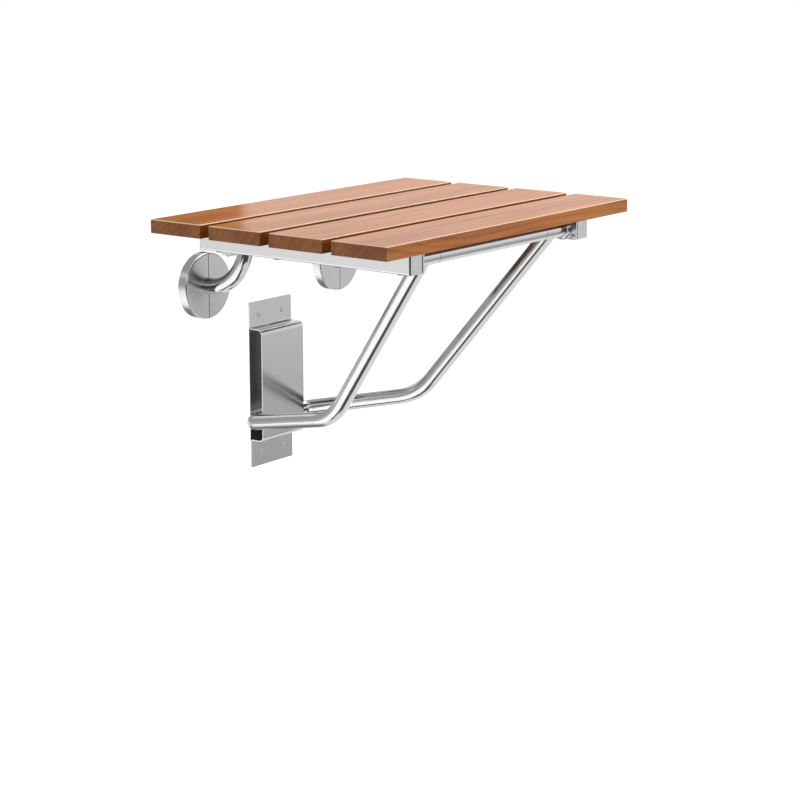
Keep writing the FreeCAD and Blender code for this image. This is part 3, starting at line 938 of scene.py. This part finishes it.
def pale_floor():
    """A pale floor that keeps the seat's soft shadow."""
    mesh = bpy.data.meshes.new("floor")
    sides = ((-1, -1), (1, -1), (1, 1), (-1, 1))
    corners = [(FLOOR_HALF * x, FLOOR_HALF * y, FLOOR_HEIGHT) for x, y in sides]
    mesh.from_pydata(corners, [], [(0, 1, 2, 3)])
    made, tree, shader = new_material("floor")
    shader.inputs["Base Color"].default_value = grey_colour(FLOOR_GREY)
    shader.inputs["Roughness"].default_value = FLOOR_ROUGHNESS
    shader.inputs["Emission Color"].default_value = grey_colour(1.0)
    lift = number(tree, "MULTIPLY", seen_rays(tree), FLOOR_LIFT)
    feed(tree, shader.inputs["Emission Strength"], lift)
    return new_object("floor", mesh, made)


floor = pale_floor()
floor.visible_glossy = False
print("floor at", FLOOR_HEIGHT, "m")

# %% [markdown]
# Polished steel shows what stands round it, and in plain white it would vanish. A
# photographer sets up large cards for it, and so does this scene. Each card is a piece of
# one big ball round the seat, given by two compass angles and two heights, so that every
# piece of steel sees it in the same direction. Dark cards round the camera draw the dark
# lines along the tubes. Bright ones low on the left whiten the rails and the covers' rims.
# Grey ones stand towards the wall and on the right. They are seen in mirrors only and cast
# no light or shade.

# %% Reflection cards
SEAT_MIDDLE = Vector((0.0, -0.2, 0.1))
CARD_DISTANCE = 6.0
CARD_STEPS = 10


def card_material(name, grey):
    """A card that shows one plain grey in a reflection."""
    made = bpy.data.materials.new(name)
    made.use_nodes = True
    tree = made.node_tree
    tree.nodes.clear()
    glow = add_node(tree, "ShaderNodeEmission", Color=grey_colour(grey), Strength=1.0)
    add_node(tree, "ShaderNodeOutputMaterial", Surface=glow.outputs[0])
    return made


def card_mesh(name, azimuths, elevations):
    """A piece of a ball between two compass angles and two heights."""
    made = bmesh.new()
    rows = []
    for azimuth in np.linspace(*azimuths, CARD_STEPS + 1):
        ways = [
            direction(math.radians(azimuth), math.radians(height))
            for height in np.linspace(*elevations, CARD_STEPS + 1)
        ]
        rows.append([made.verts.new(SEAT_MIDDLE + CARD_DISTANCE * way) for way in ways])
    for a, b in zip(rows, rows[1:]):
        for j in range(CARD_STEPS):
            made.faces.new((a[j], b[j], b[j + 1], a[j + 1]))
    mesh = bpy.data.meshes.new(name)
    made.to_mesh(mesh)
    made.free()
    return mesh


def reflection_card(name, azimuths, elevations, grey):
    """A curved card that is seen in reflections only."""
    card = new_object(name, card_mesh(name, azimuths, elevations), card_material(name, grey))
    card.visible_camera = False
    card.visible_diffuse = False
    card.visible_shadow = False
    return card


# Name, compass angles, heights (all in degrees) and how bright the card is.
CARDS = [
    ("card_camera_side", (-66, 12), (-30, -11), 0.07),
    ("card_camera_upper", (-96, 12), (-11, 10), 0.07),
    ("card_front_dark", (-61, -30), (-62, -34), 0.09),
    ("card_front_low", (-90, -5), (-84, -62), 0.09),
    ("card_left_bright", (-158, -67), (-57, -22), 1.55),
    ("card_left_upper", (-148, -68), (-22, -11), 1.35),
    ("card_left_side", (-140, -110), (-11, -4), 1.1),
    ("card_left_grey", (-172, -148), (-22, -4), 0.6),
    ("card_wall_grey", (-219, -98), (-4, 22), 0.46),
    ("card_back_dark", (-227, -219), (-4, 22), 0.12),
    ("card_wall_upper", (-226, -122), (30, 55), 0.42),
    ("card_low_back", (-150, -90), (-72, -60), 0.09),
    ("card_right_upper", (36, 90), (-13.6, -2), 0.81),
    ("card_right_lower", (36, 77), (-33, -13.6), 0.48),
    ("card_back_low", (134, 190), (-60, -30), 0.27),
]
for card in CARDS:
    print(reflection_card(*card).name, "grey", card[-1])

# %% [markdown]
# Three soft square lamps give the wood its shape. The strongest hangs high behind the seat,
# so the tops are bright and the front faces stay darker. A lower one in front and a weak
# one on the left fill those faces. Only the one behind may show in the steel.

# %% Lamps
LAMP_DISTANCE = 2.6
LAMP_SIZE = 1.6


def soft_lamp(name, azimuth, elevation, power, mirrored):
    """A square soft lamp that looks at the middle of the seat."""
    data = bpy.data.lights.new(name, "AREA")
    data.shape = "SQUARE"
    data.size = LAMP_SIZE
    data.energy = power
    lamp = bpy.data.objects.new(name, data)
    way = direction(math.radians(azimuth), math.radians(elevation))
    lamp.location = SEAT_MIDDLE + LAMP_DISTANCE * way
    lamp.rotation_euler = way.to_track_quat("Z", "Y").to_euler()
    lamp.visible_glossy = mirrored
    bpy.context.scene.collection.objects.link(lamp)
    return lamp


# Name, compass angle, height, power in watts and whether the steel may show it.
LAMPS = [
    ("lamp_behind", 118.0, 66.0, 45.0, True),
    ("lamp_front", 8.0, 20.0, 24.0, False),
    ("lamp_left", -95.0, 40.0, 8.0, False),
]
for lamp in LAMPS:
    print(soft_lamp(*lamp).name, "power", lamp[3])
